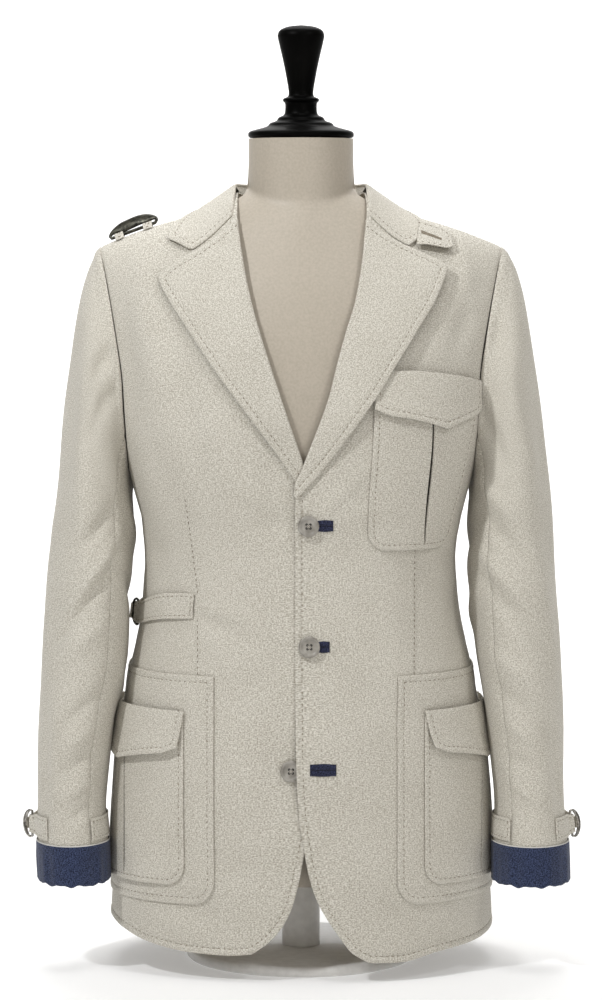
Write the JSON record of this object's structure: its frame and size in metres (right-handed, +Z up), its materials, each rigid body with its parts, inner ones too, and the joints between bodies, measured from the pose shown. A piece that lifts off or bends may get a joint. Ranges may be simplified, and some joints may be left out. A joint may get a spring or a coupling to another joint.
{
  "type": "travel jacket on dress form",
  "caption": "Single-breasted travel jacket with notch lapels, bellows pockets with pointed flaps, a waist tab and turned-back denim cuffs, on a limbless dress form",
  "frame": {"origin": "centre of the stand foot's underside, on the floor", "axes": "+Z up, the jacket's front faces -Y, +X is to the viewer's right when facing the front"},
  "size_m": [0.5541, 0.2804, 0.931],
  "materials": {
    "linen_cloth": "beige slub weave",
    "denim": "indigo twill",
    "horn": "mottled grey horn",
    "dark_metal": "dark aged",
    "form_cover": "taut ivory cloth",
    "lacquered_wood": "black gloss lacquer",
    "stand_metal": "pale satin enamel"
  },
  "bodies": {
    "root": {"front_right": "linen_cloth", "front_left": "linen_cloth", "side_right": "linen_cloth", "side_left": "linen_cloth", "back_right": "linen_cloth", "back_left": "linen_cloth", "sleeve_top_left": "linen_cloth", "sleeve_under_left": "linen_cloth", "sleeve_top_right": "linen_cloth", "sleeve_under_right": "linen_cloth", "lapel_right": "linen_cloth", "lapel_left": "linen_cloth", "collar_fall": "linen_cloth", "collar_stand": "linen_cloth", "throat_tab": "linen_cloth", "pocket_outer_left": "linen_cloth", "pocket_inner_left": "linen_cloth", "pocket_flap_left": "linen_cloth", "pocket_outer_right": "linen_cloth", "pocket_inner_right": "linen_cloth", "pocket_flap_right": "linen_cloth", "pocket_chest": "linen_cloth", "pocket_chest_flap": "linen_cloth", "waist_tab": "linen_cloth", "waist_strap": "linen_cloth", "cuff_strap_left": "linen_cloth", "cuff_tab_left": "linen_cloth", "cuff_strap_right": "linen_cloth", "cuff_tab_right": "linen_cloth", "shoulder_loop_outer": "linen_cloth", "shoulder_loop_inner": "linen_cloth", "cuff_left": "denim", "cuff_right": "denim", "waist_ring": "dark_metal", "cuff_ring_left": "dark_metal", "cuff_ring_right": "dark_metal", "shoulder_ring": "dark_metal", "button_top": "horn", "button_middle": "horn", "button_low": "horn", "form_torso": "form_cover", "form_cap": "lacquered_wood", "form_post": "stand_metal", "form_foot": "stand_metal"}
  },
  "joints": []
}
